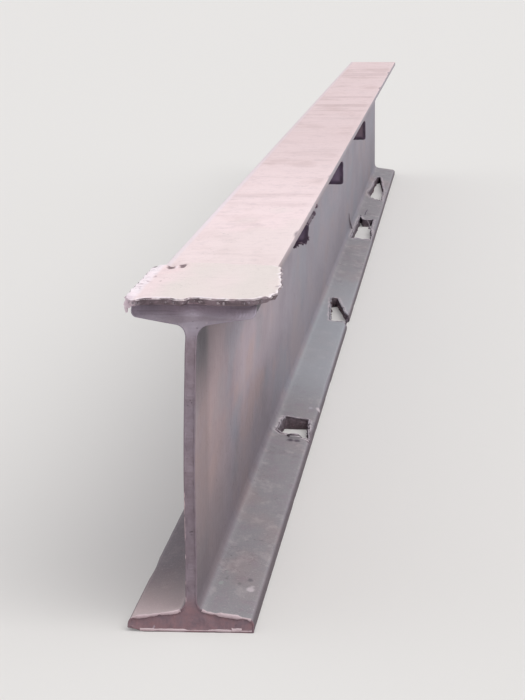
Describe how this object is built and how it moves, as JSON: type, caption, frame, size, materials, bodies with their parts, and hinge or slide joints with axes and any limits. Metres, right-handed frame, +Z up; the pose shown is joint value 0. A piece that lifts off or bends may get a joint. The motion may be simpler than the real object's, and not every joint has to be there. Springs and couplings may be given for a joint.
{
  "type": "steel i-beam",
  "caption": "Used hot-rolled steel I-beam with tapered flanges, torch-cut at one end, with plate and cleat remains.",
  "frame": {"origin": "on the underside of the foot flange, on the web's centre line, at half the beam's length", "axes": "+Y along the beam towards its square far end, +X across the flanges towards the side with the cleats, +Z up through the web"},
  "size_m": [0.181, 6, 0.39],
  "materials": {
    "rolled_steel": "dry rust over mill scale",
    "plate_steel": "dry pale rust, burnt edges",
    "cleat_steel": "dark rust"
  },
  "bodies": {
    "root": {"i_beam": "rolled_steel", "end_plate": "plate_steel", "cleat_1": "cleat_steel", "cleat_2": "cleat_steel", "cleat_3": "cleat_steel"}
  },
  "joints": []
}
